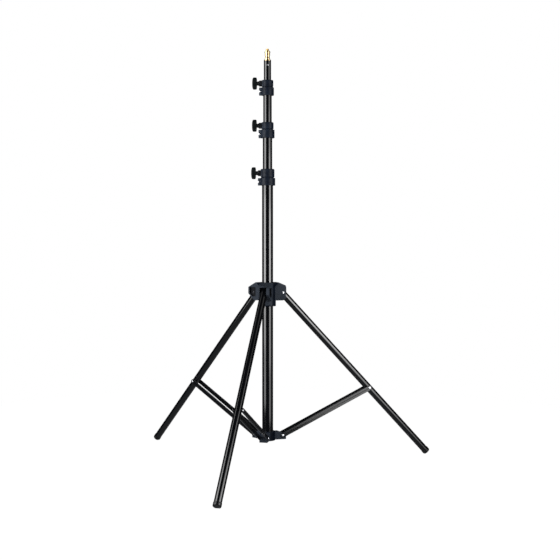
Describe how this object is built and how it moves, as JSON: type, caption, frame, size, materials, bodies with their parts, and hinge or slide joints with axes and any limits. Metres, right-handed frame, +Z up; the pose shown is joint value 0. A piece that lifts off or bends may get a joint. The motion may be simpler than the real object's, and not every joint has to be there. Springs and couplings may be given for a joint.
{
  "type": "telescoping lighting stand",
  "caption": "Black lighting stand: telescoping round column with clamp collars and T-knobs, grooved brass spigot, and folding round legs held by paired flat braces.",
  "frame": {"origin": "centre of the overall box at floor level; the column's axis stands 137.3 mm behind it, towards +Y", "axes": "+Z up along the column, -Y towards the foot of leg 1, +X to the right seen from leg 1"},
  "size_m": [0.9792, 0.8516, 1.3206],
  "materials": {
    "tube_paint": "gloss black stove enamel",
    "brace_paint": "semi-gloss dark grey enamel",
    "hub_plastic": "fine-grained moulded black nylon",
    "knob_plastic": "satin moulded black",
    "foot_rubber": "matt moulded black rubber",
    "zinc_steel": "bright zinc plate",
    "screw_steel": "plain steel",
    "spigot_brass": "turned brass",
    "bush_nylon": "natural nylon"
  },
  "bodies": {
    "column": {"base_tube": "tube_paint", "lower_hub": "hub_plastic", "base_plug": "hub_plastic", "lower_collar": "hub_plastic", "lower_collar_pinch_bolt": "zinc_steel", "lower_collar_brake_pad": "bush_nylon"},
    "lower_knob": {"lower_collar_knob": "knob_plastic", "lower_collar_knob_stud": "zinc_steel"},
    "riser_1": {"riser_1_tube": "tube_paint", "riser_1_guide_bush": "bush_nylon", "middle_collar": "hub_plastic", "middle_collar_pinch_bolt": "zinc_steel", "middle_collar_brake_pad": "bush_nylon"},
    "middle_knob": {"middle_collar_knob": "knob_plastic", "middle_collar_knob_stud": "zinc_steel"},
    "riser_2": {"riser_2_tube": "tube_paint", "riser_2_guide_bush": "bush_nylon", "upper_collar": "hub_plastic", "upper_collar_pinch_bolt": "zinc_steel", "upper_collar_brake_pad": "bush_nylon"},
    "upper_knob": {"upper_collar_knob": "knob_plastic", "upper_collar_knob_stud": "zinc_steel"},
    "riser_3": {"riser_3_tube": "tube_paint", "riser_3_guide_bush": "bush_nylon", "spigot": "spigot_brass", "spigot_screw": "screw_steel"},
    "spider": {"spider": "hub_plastic", "spider_brake_pad": "bush_nylon", "leg_1_pivot_rivet": "zinc_steel", "leg_2_pivot_rivet": "zinc_steel", "leg_3_pivot_rivet": "zinc_steel"},
    "spider_knob": {"spider_knob": "knob_plastic", "spider_knob_stud": "zinc_steel"},
    "leg_1": {"leg_1_tube": "tube_paint", "leg_1_top_plug": "hub_plastic", "leg_1_foot_cap": "foot_rubber", "leg_1_brace_rivet": "zinc_steel"},
    "brace_1": {"brace_1_left_bar": "brace_paint", "brace_1_right_bar": "brace_paint", "brace_1_left_rivet": "zinc_steel", "brace_1_right_rivet": "zinc_steel"},
    "leg_2": {"leg_2_tube": "tube_paint", "leg_2_top_plug": "hub_plastic", "leg_2_foot_cap": "foot_rubber", "leg_2_brace_rivet": "zinc_steel"},
    "brace_2": {"brace_2_left_bar": "brace_paint", "brace_2_right_bar": "brace_paint", "brace_2_left_rivet": "zinc_steel", "brace_2_right_rivet": "zinc_steel"},
    "leg_3": {"leg_3_tube": "tube_paint", "leg_3_top_plug": "hub_plastic", "leg_3_foot_cap": "foot_rubber", "leg_3_brace_rivet": "zinc_steel"},
    "brace_3": {"brace_3_left_bar": "brace_paint", "brace_3_right_bar": "brace_paint", "brace_3_left_rivet": "zinc_steel", "brace_3_right_rivet": "zinc_steel"}
  },
  "joints": [
    {"name": "spider_slide", "type": "slide", "parent": "column", "child": "spider", "axis": [0, 0, 1], "range_m": [0, 0.30572]},
    {"name": "leg_1_fold", "type": "hinge", "parent": "spider", "child": "leg_1", "pos_m": [0, 0.09033, 0.551], "axis": [1, 0, 0], "range_deg": [0, 43.02]},
    {"name": "leg_2_fold", "type": "hinge", "parent": "spider", "child": "leg_2", "pos_m": [0.0407, 0.16082, 0.551], "axis": [-0.5, 0.866, 0], "range_deg": [0, 43.02]},
    {"name": "leg_3_fold", "type": "hinge", "parent": "spider", "child": "leg_3", "pos_m": [-0.0407, 0.16082, 0.551], "axis": [-0.5, -0.866, 0], "range_deg": [0, 43.02]},
    {"name": "brace_1_fold", "type": "hinge", "parent": "leg_1", "child": "brace_1", "pos_m": [0, -0.20703, 0.23213], "axis": [-1, 0, 0], "range_deg": [0, 107.79]},
    {"name": "brace_2_fold", "type": "hinge", "parent": "leg_2", "child": "brace_2", "pos_m": [0.29822, 0.3095, 0.23213], "axis": [0.5, -0.866, 0], "range_deg": [0, 107.79]},
    {"name": "brace_3_fold", "type": "hinge", "parent": "leg_3", "child": "brace_3", "pos_m": [-0.29822, 0.3095, 0.23213], "axis": [0.5, 0.866, 0], "range_deg": [0, 107.79]},
    {"name": "riser_1_slide", "type": "slide", "parent": "column", "child": "riser_1", "axis": [0, 0, 1], "range_m": [-0.095, 0.5]},
    {"name": "riser_2_slide", "type": "slide", "parent": "riser_1", "child": "riser_2", "axis": [0, 0, 1], "range_m": [-0.083, 0.5]},
    {"name": "riser_3_slide", "type": "slide", "parent": "riser_2", "child": "riser_3", "axis": [0, 0, 1], "range_m": [-0.042, 0.5]},
    {"name": "lower_knob_turn", "type": "hinge", "parent": "column", "child": "lower_knob", "pos_m": [-0.03004, 0.12967, 0.92995], "axis": [-0.969, -0.247, 0], "range_deg": [0, 270]},
    {"name": "middle_knob_turn", "type": "hinge", "parent": "riser_1", "child": "middle_knob", "pos_m": [-0.02733, 0.13036, 1.07945], "axis": [-0.969, -0.247, 0], "range_deg": [0, 270]},
    {"name": "upper_knob_turn", "type": "hinge", "parent": "riser_2", "child": "upper_knob", "pos_m": [-0.02655, 0.13056, 1.2117], "axis": [-0.969, -0.247, 0], "range_deg": [0, 270]},
    {"name": "spider_knob_turn", "type": "hinge", "parent": "spider", "child": "spider_knob", "pos_m": [0, 0.17172, 0.545], "axis": [0, 1, 0], "range_deg": [0, 270]}
  ],
  "couplings": [
    {"joint": "leg_1_fold", "follows": "spider_slide", "rad_per_m": 2.4548},
    {"joint": "leg_2_fold", "follows": "spider_slide", "rad_per_m": 2.4548},
    {"joint": "leg_3_fold", "follows": "spider_slide", "rad_per_m": 2.4548},
    {"joint": "brace_1_fold", "follows": "spider_slide", "rad_per_m": 6.1523},
    {"joint": "brace_2_fold", "follows": "spider_slide", "rad_per_m": 6.1523},
    {"joint": "brace_3_fold", "follows": "spider_slide", "rad_per_m": 6.1523}
  ]
}
